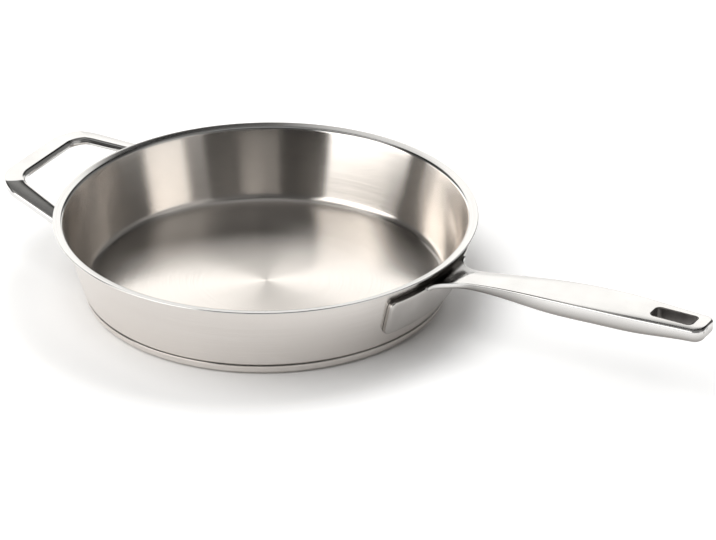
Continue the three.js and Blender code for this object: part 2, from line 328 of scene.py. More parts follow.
def turnedSteel(name, finish):
    # satin sheet whose brush marks run round the pan
    material, tree, shader = steelShader(name, finish["anisotropy"])
    rings = roundTheAxis(tree, brush["stretch"], finish["linesPerMetre"])
    lines = noiseOf(tree, rings, 1.0, brush["detail"], brush["rough"])
    haze = noiseOf(tree, objectPlace(tree), finish["hazeScale"], hazeDetail)
    streak = rangeOf(tree, lines, -finish["streak"], finish["streak"])
    tangent = addNode(tree, "ShaderNodeTangent", direction_type="UV_MAP", uv_map="UVMap")
    feed(tree, shader, {
        "Base Color": tintOf(tree, lines, finish["dark"], finish["light"]),
        "Roughness": calc(tree, "ADD", roughnessOf(tree, haze, finish, brush), streak),
        "Normal": bumpOf(tree, lines, finish, brush),
        "Tangent": tangent.outputs["Tangent"],
    })
    return material


def paintCreviceShade(tree, colour, place, heights):
    # painted shade in the crevice: darkened close to the wall and high up
    reach, height = fromAxis(tree, place)[1:]
    near = rangeOf(tree, reach, 1.0, 0.0, creviceShade["reach"])
    high = rangeOf(tree, height, 0.0, 1.0, heights)
    return blend(tree, calc(tree, "MULTIPLY", near, high), colour, (*creviceShade["colour"], 1.0))


def paintUndersideShade(tree, colour, under):
    # painted shade: polished at the seam and darkened further down, for the shaded table that the trough's
    # side mirrors
    depth = addNode(tree, "ShaderNodeAttribute", attribute_name="depthShare").outputs["Fac"]
    return blend(tree, rangeOf(tree, depth, 0.0, 1.0, under["depth"]), colour, (*under["colour"], 1.0))


def polishedSteel(name, finish):
    # polished metal with faint wiping marks and a little haze
    material, tree, shader = steelShader(name, 0.0)
    place = objectPlace(tree)
    drawn = addNode(tree, "ShaderNodeMapping", {"Vector": place, "Scale": finish["grain"]}).outputs["Vector"]
    marks = noiseOf(tree, drawn, 1.0, wipe["detail"], wipe["rough"])
    haze = noiseOf(tree, place, finish["hazeScale"], hazeDetail)
    colour = tintOf(tree, haze, finish["dark"], finish["light"])
    # painted shade in the crevice where the piece meets the wall
    if "creviceShadeHeights" in finish:
        colour = paintCreviceShade(tree, colour, place, finish["creviceShadeHeights"])
    # painted shade, darker towards the bottom of the trough's side
    if "under" in finish:
        colour = paintUndersideShade(tree, colour, finish["under"])
    smear = rangeOf(tree, haze, 0.0, finish["smear"])
    feed(tree, shader, {
        "Base Color": colour,
        "Roughness": calc(tree, "ADD", roughnessOf(tree, marks, finish, wipe), smear),
        "Normal": bumpOf(tree, marks, finish, wipe),
    })
    return material


insideFinish = {
    "anisotropy": 1.0, "roughness": 0.2, "streak": 0.008, "bump": 0.02,
    "linesPerMetre": 1400.0, "hazeScale": 22.0,
    "dark": (0.75, 0.71, 0.67), "light": (0.80, 0.765, 0.73),
}
outsideFinish = {
    "anisotropy": 0.6, "roughness": 0.24, "streak": 0.008, "bump": 0.02,
    "linesPerMetre": 1700.0, "hazeScale": 18.0,
    "dark": (0.74, 0.70, 0.665), "light": (0.79, 0.755, 0.725),
}
lipFinish = {
    "anisotropy": 0.2, "roughness": 0.15, "streak": 0.01, "bump": 0.03,
    "linesPerMetre": 2200.0, "hazeScale": 25.0,
    "dark": (0.66, 0.655, 0.645), "light": (0.72, 0.715, 0.705),
}
handleFinish = {
    "roughness": 0.10, "smear": 0.03, "bump": 0.03,
    "grain": (60.0, 900.0, 900.0), "hazeScale": 40.0,
    "dark": (0.65, 0.645, 0.635), "light": (0.72, 0.715, 0.705),
    # painted shade: heights over which the crevice at the wall is darkened
    "creviceShadeHeights": (47.5 * mm, 48.1 * mm),
}
undersideFinish = {
    "roughness": 0.16, "smear": 0.04, "bump": 0.05,
    "grain": (50.0, 900.0, 900.0), "hazeScale": 40.0,
    "dark": (0.74, 0.73, 0.715), "light": (0.80, 0.79, 0.775),
    # painted shade: how far down the darkening runs, and its colour
    "under": {"depth": (0.0, 0.78), "colour": (0.24, 0.225, 0.21)},
}
plateFinish = {
    "roughness": 0.16, "smear": 0.03, "bump": 0.03,
    "grain": (700.0, 120.0, 700.0), "hazeScale": 40.0,
    "dark": (0.51, 0.49, 0.47), "light": (0.58, 0.56, 0.54),
    # painted shade: heights over which the crevice at the wall is darkened
    "creviceShadeHeights": (45.1 * mm, 45.7 * mm),
}
# painted shade: the lining's steel is made near black, for the shade inside the slot
liningFinish = {
    "roughness": 0.42, "smear": 0.05, "bump": 0.06,
    "grain": (500.0, 500.0, 90.0), "hazeScale": 120.0,
    "dark": (0.12, 0.112, 0.107), "light": (0.19, 0.18, 0.172),
}
coreFinish = {
    "roughness": 0.48, "smear": 0.08, "bump": 0.1,
    "grain": (300.0, 300.0, 300.0), "hazeScale": 60.0,
    "dark": (0.66, 0.67, 0.69), "light": (0.76, 0.77, 0.79),
}
tongueFinish = {
    "roughness": 0.4, "smear": 0.06, "bump": 0.1,
    "grain": (80.0, 800.0, 800.0), "hazeScale": 60.0,
    "dark": (0.56, 0.555, 0.545), "light": (0.66, 0.655, 0.645),
}

bowlInside = turnedSteel("brushed_bowl_inside", insideFinish)
bowlOutside = turnedSteel("satin_bowl_outside", outsideFinish)
brightLip = turnedSteel("bright_lip", lipFinish)
handlePolish = polishedSteel("polished_handle_steel", handleFinish)
undersideSatin = polishedSteel("satin_handle_underside", undersideFinish)
platePolish = polishedSteel("polished_plate_steel", plateFinish)
slotSteel = polishedSteel("slot_lining_steel", liningFinish)
coreMetal = polishedSteel("pressed_core_aluminium", coreFinish)
tongueSteel = polishedSteel("tongue_sheet_steel", tongueFinish)
print("finishes made")


# bowl and base, turned about the pan's axis

bowl = {
    "rimRadius": 140 * mm,
    "height": 57.3 * mm,
    "sheet": 1 * mm,
    "taper": math.radians(15.9),
    "fillet": 7 * mm,
    "lipWidth": 4.45 * mm,
    "lipSlope": math.radians(11.5),
    "lipBend": 2 * mm,
    "segments": 286,
    "underSteps": 8,
    "cornerSteps": 10,
    "wallSteps": 10,
    "bendSteps": 10,
    "brightSteps": 7,  # how much of the inner bend is polished with the lip
    "lipSteps": 3,
    "edgeSteps": 8,
    "filletSteps": 12,
    "floorSteps": 40,
}
base = {
    "sheet": 0.6 * mm,
    "edge": 5 * mm,
    "core": 4.2 * mm,
    "groove": 0.9 * mm,
    "softShare": 0.45,  # of the sheet, taken off its rim
    "rimMiddle": 0.3,  # of that softness, how far the rim's middle point lies back
    "underSteps": 30,
    "edgeSteps": 12,
    "insideEdgeSteps": 8,
    "insideSteps": 6,
}

wallNormal = (math.cos(bowl["taper"]), -math.sin(bowl["taper"]))
wallUp = (math.sin(bowl["taper"]), math.cos(bowl["taper"]))
lipAlong = (math.cos(bowl["lipSlope"]), math.sin(bowl["lipSlope"]))
lipNormal = (-lipAlong[1], lipAlong[0])
lipAngle = quarterTurn + bowl["lipSlope"]
wallAngle = math.pi - bowl["taper"]

floorTop = base["sheet"] + base["core"] + bowl["sheet"]
lipInner = (bowl["rimRadius"], bowl["height"] - bowl["lipWidth"] * lipAlong[1])
lipOuter = along(lipInner, lipAlong, bowl["lipWidth"])
lipEdgeCentre = along(lipOuter, lipNormal, -bowl["sheet"] / 2)
bendCentre = along(lipInner, lipNormal, -(bowl["lipBend"] + bowl["sheet"]))
wallTopInside = along(bendCentre, wallNormal, -(bowl["lipBend"] + bowl["sheet"]))
wallTopOutside = along(bendCentre, wallNormal, -bowl["lipBend"])
filletHeight = floorTop + bowl["fillet"]
filletRun = bowl["fillet"] - (filletHeight - wallTopInside[1]) * math.sin(bowl["taper"])
filletCentre = (wallTopInside[0] - filletRun / math.cos(bowl["taper"]), filletHeight)
cornerRadius = bowl["fillet"] + bowl["sheet"]


def wallRadius(height):
    return wallTopOutside[0] + (height - wallTopOutside[1]) * math.tan(bowl["taper"])


def bowlProfile():
    taper, sheet, bright = bowl["taper"], bowl["sheet"], bowl["brightSteps"]
    corner = arcPoints(filletCentre, cornerRadius, -quarterTurn, -taper, bowl["cornerSteps"])
    outerBend = arcPoints(bendCentre, bowl["lipBend"], wallAngle, lipAngle, bowl["bendSteps"])
    edge = arcPoints(lipEdgeCentre, sheet / 2, lipAngle - math.pi, lipAngle, bowl["edgeSteps"])
    innerBend = arcPoints(bendCentre, bowl["lipBend"] + sheet, lipAngle, wallAngle, bowl["bendSteps"])
    fillet = arcPoints(filletCentre, bowl["fillet"], -taper, -quarterTurn, bowl["filletSteps"])
    under, middle = (0.0, floorTop - sheet), (0.0, floorTop)
    outside = [under, *straight(under, corner[0], bowl["underSteps"]), *corner]
    outside += [*straight(corner[-1], outerBend[0], bowl["wallSteps"]), outerBend[0]]
    lip = [*outerBend[1:], *straight(outerBend[-1], edge[0], bowl["lipSteps"]), *edge]
    lip += [*straight(edge[-1], innerBend[0], bowl["lipSteps"]), *innerBend[:bright]]
    inside = [*innerBend[bright:], *straight(innerBend[-1], fillet[0], bowl["wallSteps"]), *fillet]
    inside += [*straight(fillet[-1], middle, bowl["floorSteps"]), middle]
    return outside + lip + inside, len(outside), len(outside) + len(lip)


def baseProfile():
    taper, soft = bowl["taper"], base["sheet"] * base["softShare"]
    sideStart = base["edge"] * (1 - math.sin(taper))
    edgeCentre = (wallRadius(sideStart) - base["edge"] * math.cos(taper), base["edge"])
    outer = arcPoints(edgeCentre, base["edge"], -quarterTurn, -taper, base["edgeSteps"])
    innerRadius = base["edge"] - base["sheet"]
    inner = arcPoints(edgeCentre, innerRadius, -taper, -quarterTurn, base["insideEdgeSteps"])
    closingAngle = -taper - math.acos(1 - (base["sheet"] + seatGap) / cornerRadius)
    closing = along(filletCentre, (math.cos(closingAngle), math.sin(closingAngle)), cornerRadius)
    rimOuter = along(closing, wallNormal, seatGap + base["sheet"])
    rimInner = along(closing, wallNormal, seatGap)
    cutBack = -soft * base["rimMiddle"]
    rim = [
        along(rimOuter, wallUp, -soft),
        along(along(rimOuter, wallUp, cutBack), wallNormal, cutBack),
        along(rimOuter, wallNormal, -soft),
        along(rimInner, wallUp, -base["groove"]),
    ]
    under, floor = (0.0, 0.0), (0.0, base["sheet"])
    outside = [under, *straight(under, outer[0], base["underSteps"]), *outer, *rim, *inner]
    inside = [*straight(inner[-1], floor, base["insideSteps"]), floor]
    return outside + inside, len(outside), len(outside)


def reshape(tree, kind, inputs, **settings):
    return addNode(tree, kind, inputs, **settings).outputs["Geometry"]


def turnedTree():
    # skins a profile drawn in X and Z round the Z axis, with its own finish for outside, lip and inside
    tree = bpy.data.node_groups.new("turnedSheet", "GeometryNodeTree")
    for label, kind in (
        ("Profile", "Geometry"), ("Segments", "Int"), ("Lip Row", "Int"), ("Inside Row", "Int"),
        ("Outside Finish", "Material"), ("Lip Finish", "Material"), ("Inside Finish", "Material"),
    ):
        tree.interface.new_socket(label, in_out="INPUT", socket_type="NodeSocket" + kind)
    tree.interface.new_socket("Turned", in_out="OUTPUT", socket_type="NodeSocketGeometry")
    given = addNode(tree, "NodeGroupInput").outputs
    size = addNode(tree, "GeometryNodeAttributeDomainSize", {"Geometry": given["Profile"]})
    rows = size.outputs["Point Count"]
    columns = calc(tree, "ADD", given["Segments"], 1.0)
    grid = addNode(tree, "GeometryNodeMeshGrid", {"Vertices X": columns, "Vertices Y": rows}).outputs

    # the grid is one metre square about its middle: X gives the turn and Y the profile's row
    place = addNode(tree, "GeometryNodeInputPosition").outputs["Position"]
    axes = axesOf(tree, place)
    turn = rangeOf(tree, axes["X"], 0.0, fullTurn, (-0.5, 0.5))
    share = calc(tree, "ADD", axes["Y"], 0.5)
    row = calc(tree, "ROUND", calc(tree, "MULTIPLY", share, calc(tree, "SUBTRACT", rows, 1.0)))
    drawn = axesOf(tree, addNode(tree, "GeometryNodeSampleIndex", {
        "Geometry": given["Profile"], "Value": place, "Index": row,
    }, data_type="FLOAT_VECTOR").outputs["Value"])
    spoke = vectorOf(tree, {"X": drawn["X"], "Z": drawn["Z"]})
    swung = addNode(tree, "ShaderNodeVectorRotate", {"Vector": spoke, "Angle": turn}, rotation_type="Z_AXIS")

    mapped = axesOf(tree, grid["UV Map"])
    shape = reshape(tree, "GeometryNodeStoreNamedAttribute", {
        "Geometry": grid["Mesh"], "Name": "UVMap",
        "Value": vectorOf(tree, {"X": mapped["Y"], "Y": mapped["X"]}),
    }, data_type="FLOAT2", domain="CORNER")
    shape = reshape(tree, "GeometryNodeStoreNamedAttribute", {
        "Geometry": shape, "Name": "profileRow", "Value": row,
    }, data_type="FLOAT", domain="POINT")
    shape = reshape(tree, "GeometryNodeSetPosition", {"Geometry": shape, "Position": swung.outputs["Vector"]})
    shape = reshape(tree, "GeometryNodeMergeByDistance", {"Geometry": shape, "Distance": mergeDistance})
    shape = reshape(tree, "GeometryNodeSetShadeSmooth", {"Geometry": shape})
    shape = reshape(tree, "GeometryNodeRealizeInstances", {"Geometry": shape})
    shape = reshape(tree, "GeometryNodeSetMaterial", {"Geometry": shape, "Material": given["Outside Finish"]})
    keptRow = addNode(tree, "GeometryNodeInputNamedAttribute", {"Name": "profileRow"}, data_type="FLOAT")
    for part in ("Lip", "Inside"):
        past = addNode(tree, "FunctionNodeCompare", {
            "A": keptRow.outputs["Attribute"], "B": given[part + " Row"],
        }, operation="GREATER_THAN").outputs["Result"]
        shape = reshape(tree, "GeometryNodeSetMaterial", {
            "Geometry": shape, "Selection": past, "Material": given[part + " Finish"],
        })
    addNode(tree, "NodeGroupOutput", {"Turned": shape})
    return tree


def turnedPiece(name, tree, drawing, finishes):
    profile, lipRow, insideRow = drawing
    joined = [(i, i + 1) for i in range(len(profile) - 1)]
    piece = meshObject(name, [(r, 0.0, z) for r, z in profile], [], joined)
    modifier = piece.modifiers.new("turned", "NODES")
    modifier.node_group = tree
    settings = {"Segments": bowl["segments"], "Lip Row": lipRow, "Inside Row": insideRow}
    settings.update(zip(("Outside Finish", "Lip Finish", "Inside Finish"), finishes))
    for item in tree.interface.items_tree:
        if item.name in settings:
            modifier[item.identifier] = settings[item.name]
    bakeModifiers(piece)
    return piece


sheetTree = turnedTree()
panBowl = turnedPiece("pan_bowl", sheetTree, bowlProfile(), (bowlOutside, brightLip, bowlInside))
standIn(panBowl, "bowl_steel", "pan_shell")
baseCapsule = turnedPiece("base_capsule", sheetTree, baseProfile(), (bowlOutside, bowlOutside, bowlOutside))
standIn(baseCapsule, "base_steel", "base_cap")


# curved plates that carry the handles

plate = {
    "thickness": 3.7 * mm,
    "bottom": 18.5 * mm,
    "corner": 5 * mm,
    "edge": 2.2 * mm,
    "edgeDepthShare": 0.95,  # of the edge, how far the front falls over it
    "flangeTop": 46 * mm,
    "flangeHalfAngle": math.radians(22.7),
    "flangeColumns": 40,
    "footTop": 49 * mm,
    "footHalfAngle": math.radians(6.6),
    "footColumns": 10,
    "cornerSteps": 14,
    "edgeSteps": 8,
    "faceSteps": 8,
}
plateInner = seatGap / math.cos(bowl["taper"])
plateOuter = plateInner + plate["thickness"] / math.cos(bowl["taper"])


def wallPlate(name, halfAngle, top, turn, columns):
    # a curved panel with round corners, whose front is eased down towards its outline
    reference = wallRadius(top)
    corner, edge = plate["corner"], plate["edge"]
    sideRun = reference * math.tan(halfAngle) - corner
    middle = (top + plate["bottom"]) / 2
    upRun = top - middle - corner
    cornerRuns = [sideRun + corner * math.sin(a) for a in spread(0, quarterTurn, plate["cornerSteps"])]
    runs = [-u for u in reversed(cornerRuns)] + spread(-sideRun, sideRun, columns)[1:-1] + cornerRuns
    edgeRows = [edge * (1 - math.cos(a)) for a in spread(0, quarterTurn, plate["edgeSteps"])]
    front, back = [], []
    for u in runs:
        past = limit(abs(u) - sideRun, 0.0, corner)
        rise = upRun + math.sqrt(corner ** 2 - past ** 2)
        upper = [rise - row for row in edgeRows]
        rowsUp = [-up for up in upper] + spread(-upper[-1], upper[-1], plate["faceSteps"])[1:-1] + upper[::-1]
        angle = math.atan(u / reference) + turn
        for up in rowsUp:
            beyond = abs(up) - upRun
            outside = math.hypot(past, beyond) if beyond > 0 and past > 0 else max(abs(u) - sideRun, beyond)
            eased = plateOuter - easing(corner - outside, edge, edge * plate["edgeDepthShare"])
            for verts, out in ((front, eased), (back, plateInner)):
                radius = wallRadius(middle + up) + out
                verts.append((radius * math.cos(angle), radius * math.sin(angle), middle + up))
    rows, lines = len(rowsUp), len(runs)
    under = rows * lines
    faces = []
    for i in range(lines - 1):
        for j in range(rows - 1):
            a, b = i * rows + j, (i + 1) * rows + j
            faces.append((a, b, b + 1, a + 1))
            faces.append((under + a, under + a + 1, under + b + 1, under + b))
    outline = [i * rows for i in range(lines)] + [(lines - 1) * rows + j for j in range(1, rows)]
    outline += [i * rows + rows - 1 for i in range(lines - 2, -1, -1)] + list(range(rows - 2, 0, -1))
    for a, b in zip(outline, outline[1:] + outline[:1]):
        faces.append((b, a, under + a, under + b))
    piece = meshObject(name, front + back, faces)
    facesOut(piece)
    smoothShade(piece)
    dress(piece, platePolish)
    return piece


flangePlate = wallPlate(
    "flange_plate", plate["flangeHalfAngle"], plate["flangeTop"], 0.0, plate["flangeColumns"],
)
standIn(flangePlate, "handle_steel", "handle_flange")


# long handle: a cover over a trough, both drawn from the same rules along its length

handle = {
    "length": 192 * mm,
    "rootTop": 47.2 * mm,
    "rootLift": 1.4 * mm,
    "rootLiftLength": 11 * mm,
    "turnUp": 8 * mm,  # length over which the top line turns upwards
    "gripTop": 58.3 * mm,
    "archLength": 145 * mm,
    "neckWidth": 20.6 * mm,
    "gripWidth": 33 * mm,
    "tipWidth": 25 * mm,
    "neckLength": 18 * mm,
    "swellLength": 92 * mm,
    "tipTaperLength": 68 * mm,
    "gripDepth": 12.5 * mm,
    "tipDepth": 9 * mm,
    "deepenStart": 8 * mm,
    "deepenLength": 84 * mm,
    "thinningLength": 55 * mm,
    "flareLength": 22 * mm,
    "flareWidth": 15.5 * mm,
    "sweepShare": 0.4,  # of the flare, how much it widens the rounded underside
    "rootEdge": 0.9 * mm,  # upright side left under the seam at the root
    "tipCorner": 7 * mm,
    "crown": 0.85 * mm,
    "undersideShare": 0.42,  # of the depth, how far the underside is rounded
    "coverSheet": 1.2 * mm,
    "coverEdgeWidth": 1.7 * mm,
    "coverEdgeDrop": 0.8 * mm,
    "coverEdgeGrowth": 110 * mm,  # length over which the cover's edge grows to its full size
    "coverRootShare": 0.25,  # of that full size, what the edge has at the root
    "seamLine": 0.05 * mm,  # gap that shows between the two shells
    "troughWall": 1.2 * mm,
    "tongueThickness": 1.6 * mm,
    "tongueWidth": 14 * mm,
    "hollowLead": 2 * mm,  # how far before the shells the hollow begins
    "edgeLimit": 0.6,  # most of the half width that an edge may take
    "flareSteps": 16,
    "gripSteps": 90,
    "tipSteps": 16,
    "seamSteps": 12,
    "coverSteps": (8, 24),  # along each edge, then between them
    "troughSteps": (10, 16),
    "hollowSteps": (4, 6),
}
hangSlot = {
    "length": 29 * mm,
    "width": 12 * mm,
    "corner": 3 * mm,
    "margin": 10 * mm,
    "wall": 0.8 * mm,
    "softShare": 0.4,  # of the wall, taken off its upper edges
    "cornerSteps": 12,
}
cutter = {  # tools that trim the handles' roots and open the slot
    "low": 30 * mm,
    "high": 75 * mm,
    "segments": 288,
}

handleRoot = wallRadius(handle["rootTop"]) + plateOuter
handleTip = handleRoot + handle["length"]
seam = handle["coverSheet"] + seatGap
closedSeam = handle["coverSheet"] + handle["seamLine"]
neckDepth = seam + handle["tongueThickness"] + seatGap + handle["troughWall"]
slotCentre = handleTip - hangSlot["margin"] - hangSlot["length"] / 2


def trimCone():
    rings = []
    for z in (0.0, cutter["high"]):
        radius = wallRadius(z) + plateOuter + plateInner
        circle = arcPoints((0.0, 0.0), radius, 0.0, fullTurn, cutter["segments"])
        rings.append([(x, y, z) for x, y in circle[:-1]])
    return loftPiece("trimCone", rings)


def slotOutline(out):
    corner = hangSlot["corner"] + out
    runX, runY = hangSlot["length"] / 2 + out - corner, hangSlot["width"] / 2 + out - corner
    points = []
    for k, (sideX, sideY) in enumerate(((1, 1), (-1, 1), (-1, -1), (1, -1))):
        start = k * quarterTurn
        centre = (sideX * runX, sideY * runY)
        points += arcPoints(centre, corner, start, start + quarterTurn, hangSlot["cornerSteps"])
    return points


def climbAfter(run):
    return math.hypot(run, handle["turnUp"]) - handle["turnUp"]


def handleTopAt(x):
    # dips away from the flange, then turns up into an arch
    run = limit(x - handleRoot, 0.0, handle["archLength"])
    rest = 1 - climbAfter(run) / climbAfter(handle["archLength"])
    lift = limit(1 - run / handle["rootLiftLength"], 0.0, 1.0)
    climb = (handle["gripTop"] - handle["rootTop"]) * rest * rest
    return handle["gripTop"] - climb + handle["rootLift"] * lift * lift


def rootFlareAt(x):
    intoFlare = limit(1 - (x - handleRoot) / handle["flareLength"], 0.0, 1.0)
    return handle["flareWidth"] * (1 - math.sqrt(1 - intoFlare ** 2))


def handleHalfWidthAt(x):
    swellStart = handleRoot + handle["neckLength"]
    swell = smoothStep(x, swellStart, swellStart + handle["swellLength"])
    taper = smoothStep(x, handleTip - handle["tipTaperLength"], handleTip)
    width = mix(mix(handle["neckWidth"], handle["gripWidth"], swell), handle["tipWidth"], taper)
    corner = handle["tipCorner"]
    intoTip = limit(x - (handleTip - corner), 0.0, corner)
    return width / 2 + rootFlareAt(x) - (corner - math.sqrt(corner ** 2 - intoTip ** 2))


def handleDepthAt(x):
    start = handleRoot + handle["deepenStart"]
    deepen = smoothStep(x, start, start + handle["deepenLength"])
    thin = smoothStep(x, handleTip - handle["thinningLength"], handleTip)
    return mix(mix(neckDepth, handle["gripDepth"], deepen), handle["tipDepth"], thin)


def crownAt(across, half):
    return handle["crown"] * (1 - (across / half) ** 2)


insideFlange = -handle["flareLength"] / 2  # the root starts here and is trimmed
flareTurns = spread(0, quarterTurn, handle["flareSteps"])
tipTurns = spread(0, quarterTurn, handle["tipSteps"])
flareRuns = [handle["flareLength"] * (1 - math.cos(a)) for a in flareTurns]
tipRuns = [handle["length"] - handle["tipCorner"] * (1 - math.sin(a)) for a in tipTurns]
gripRuns = spread(flareRuns[-1], tipRuns[0], handle["gripSteps"])[1:-1]
stations = [handleRoot + run for run in [insideFlange, *flareRuns, *gripRuns, *tipRuns]]
halves = [handleHalfWidthAt(x) for x in stations]
planLine = np.array([*zip(stations, halves), (handleTip, 0.0)])


def edgeDistance(x, y):
    # how far a point of the plan lies inside the handle's outline
    start, step = planLine[:-1], planLine[1:] - planLine[:-1]
    point = np.array((x, abs(y)))
    share = np.clip(((point - start) * step).sum(1) / (step ** 2).sum(1), 0.0, 1.0)
    return float(np.sqrt(((start + step * share[:, None] - point) ** 2).sum(1)).min())


def acrossRow(half, edge, edgeSteps, faceSteps):
    # places across the handle, closer together along its edges
    edge = min(edge, half * handle["edgeLimit"])
    side = [half - edge * (1 - math.cos(a)) for a in spread(0, quarterTurn, edgeSteps)]
    face = spread(half - edge, edge - half, faceSteps)[1:-1]
    return side + face + [-y for y in reversed(side)]


def seamRow(x, half, height):
    return [(x, y, height + crownAt(y, half)) for y in spread(-half, half, handle["seamSteps"])]


def coverRing(x, half):
    top = handleTopAt(x)
    grown = smoothStep(x, handleRoot, handleRoot + handle["coverEdgeGrowth"])
    ease = mix(handle["coverRootShare"], 1.0, grown)
    width, drop = handle["coverEdgeWidth"] * ease, handle["coverEdgeDrop"] * ease
    ring = []
    for y in acrossRow(half, width, *handle["coverSteps"]):
        ring.append((x, y, top + crownAt(y, half) - easing(edgeDistance(x, y), width, drop)))
    return ring + seamRow(x, half, top - handle["coverSheet"])


def troughRing(x, half):
    top, depth, flare = handleTopAt(x), handleDepthAt(x), rootFlareAt(x)
    low = top - depth
    rounding = min(depth * handle["undersideShare"], half)
    wide = rounding + flare * handle["sweepShare"]
    high = mix(rounding, depth - seam - handle["rootEdge"], flare / handle["flareWidth"])
    ring = []
    for y in acrossRow(half, wide, *handle["troughSteps"]):
        inside = half - abs(y) if flare > 0 else edgeDistance(x, y)
        ring.append((x, y, low + easing(inside, wide, high)))
    return [*reversed(ring), *reversed(seamRow(x, half, top - closedSeam))]


def hollowRing(x):
    # narrow round the tongue in the neck, and as wide as the walls allow in the grip
    neckEnd = handleRoot + handle["neckLength"]
    opening = smoothStep(x, neckEnd, neckEnd + handle["swellLength"] / 2)
    wall, outerHalf, depth = handle["troughWall"], handleHalfWidthAt(x), handleDepthAt(x)
    half = mix(handle["tongueWidth"] / 2 + seatGap, outerHalf - wall, opening)
    low, high = handleTopAt(x) - depth + wall, handleTopAt(x) + handle["crown"]
    rounding = max(min(depth * handle["undersideShare"], outerHalf) - wall, seatGap)
    bottom = []
    for y in acrossRow(half, rounding, *handle["hollowSteps"]):
        bottom.append((x, y, low + easing(half - abs(y), rounding, rounding)))
    return [*reversed(bottom), (x, half, high), (x, -half, high)]


def storeDepth(piece):
    # how far down the side each vertex lies, for the painted shade that darkens the side towards its bottom
    depth = piece.data.attributes.new("depthShare", "FLOAT", "POINT")
    for vertex, item in zip(piece.data.vertices, depth.data):
        x, z = vertex.co.x, vertex.co.z
        item.value = limit((handleTopAt(x) - seam - z) / (handleDepthAt(x) - seam), 0.0, 1.0)


cone = trimCone()
seatOutline = slotOutline(hangSlot["wall"] + seatGap)
seatRings = [[(slotCentre + x, y, z) for x, y in seatOutline] for z in (cutter["low"], cutter["high"])]
slotSeat = loftPiece("slotSeat", seatRings)
hollowEnd = handleTip - handle["tipCorner"]
hollowStations = [stations[0] - handle["hollowLead"], *(x for x in stations if x < hollowEnd)]
hollow = loftPiece("hollow", [hollowRing(x) for x in hollowStations])

handleCover = loftPiece("handle_top_shell", [coverRing(x, half) for x, half in zip(stations, halves)])
cutBy(handleCover, slotSeat, cone)
smoothShade(handleCover)
dress(handleCover, handlePolish)
standIn(handleCover, "handle_steel", "handle_cover")

handleTrough = loftPiece("handle_under_shell", [troughRing(x, half) for x, half in zip(stations, halves)])
cutBy(handleTrough, cone, hollow, slotSeat)
smoothShade(handleTrough)
storeDepth(handleTrough)
dress(handleTrough, undersideSatin)
standIn(handleTrough, "handle_steel", "handle_trough")


def slotSleeve():
    # its section: how far out from the slot, how far below the top, and whether it is at the top
    wall = hangSlot["wall"]
    soft = wall * hangSlot["softShare"]
    section = (
        (wall, 0.0, False), (wall, soft, True), (wall - soft, 0.0, True),
        (soft, 0.0, True), (0.0, soft, True), (0.0, 0.0, False),
    )
    rows = []
    for out, lower, atTop in section:
        row = []
        for x, y in slotOutline(out):
            place = slotCentre + x
            top, depth = handleTopAt(place), handleDepthAt(place)
            rounding = depth * handle["undersideShare"]
            if atTop:
                z = top + crownAt(y, handleHalfWidthAt(place)) - lower
            else:
                z = top - depth + easing(edgeDistance(place, y), rounding, rounding)
            row.append((place, y, z))
        rows.append(row)
    count = len(rows[0])
    faces = []
    for k in range(len(rows)):
        following = (k + 1) % len(rows)
        for i in range(count):
            j = (i + 1) % count
            faces.append((k * count + i, k * count + j, following * count + j, following * count + i))
    piece = meshObject("slot_lining", [point for row in rows for point in row], faces)
    facesOut(piece)
    smoothShade(piece)
    dress(piece, slotSteel)
    return piece


slotLining = slotSleeve()
standIn(slotLining, "sleeve_steel", "hang_sleeve")


# loop handle: a flat bar, creased across each corner so that the arms fall to their feet

loop = {
    "reach": 192 * mm,
    "top": 57.8 * mm,
    "barWidth": 15 * mm,
    "rootWidth": 12 * mm,
    "thickness": 5 * mm,
    "edge": 1.2 * mm,
    "innerEdge": 3.6 * mm,
    "halfSpan": 41.8 * mm,
    "spread": math.radians(16.6),  # how far the arms open towards the wall
    "bend": 24 * mm,
    "creaseShift": 4.6 * mm,  # how far past the middle of the bend the crease lies
    "creaseBow": 1 * mm,  # how far the crease curves
    "rootTop": 49 * mm,
    "creaseSupport": 0.03,  # how close to the crease the rings beside it lie
    "armSteps": 8,
    "bendSteps": 12,
    "underEdgeSteps": 6,
    "innerEdgeSteps": 12,
    "outerEdgeSteps": 8,
    "faceSteps": 4,
}

gripLine = loop["reach"] - loop["barWidth"] / 2
armAlong = Vector((-math.cos(loop["spread"]), math.sin(loop["spread"])))
armInward = Vector((-armAlong.y, armAlong.x))
loopCorner = Vector((gripLine, loop["halfSpan"]))
loopSwing = quarterTurn - loop["spread"]
bendTangent = loop["bend"] * math.tan(loopSwing / 2)
loopBendCentre = Vector((gripLine - loop["bend"], loop["halfSpan"] - bendTangent))
footReach = wallRadius(loop["rootTop"]) + plateOuter
cornerRun = -loopCorner.dot(armAlong)
armLength = cornerRun - math.sqrt(cornerRun ** 2 - loopCorner.length_squared + footReach ** 2)
armRoot = loopCorner + armAlong * armLength
armStart = armRoot + armAlong * plateOuter  # inside the foot, and trimmed
armEnd = loopCorner + armAlong * bendTangent
footAngle = math.atan2(armRoot.y, armRoot.x)
crease = Vector((1 + math.sin(loop["spread"]), math.cos(loop["spread"]))).normalized()
fall = Vector((-crease.y, crease.x))


def creaseShiftAt(inward):
    return loop["creaseShift"] + loop["creaseBow"] * (1 - (2 * inward / loop["barWidth"]) ** 2)


def pastCrease(plan, inward):
    return (plan - loopCorner).dot(fall) - creaseShiftAt(inward)


armGrade = (loop["top"] - loop["rootTop"]) / pastCrease(armRoot, 0.0)


def armPoint(share, inward):
    return armStart.lerp(armEnd, share) + armInward * inward


def bendPoint(step, inward):
    # the turn depends on the radius, so that step 0 lies along the crease
    radius = loop["bend"] - inward
    creaseTurn = loopSwing / 2 + math.asin(creaseShiftAt(inward) / radius)
    turn = mix(creaseTurn, loopSwing, -step) if step < 0 else mix(creaseTurn, 0.0, step)
    return loopBendCentre + Vector((math.cos(turn), math.sin(turn))) * radius


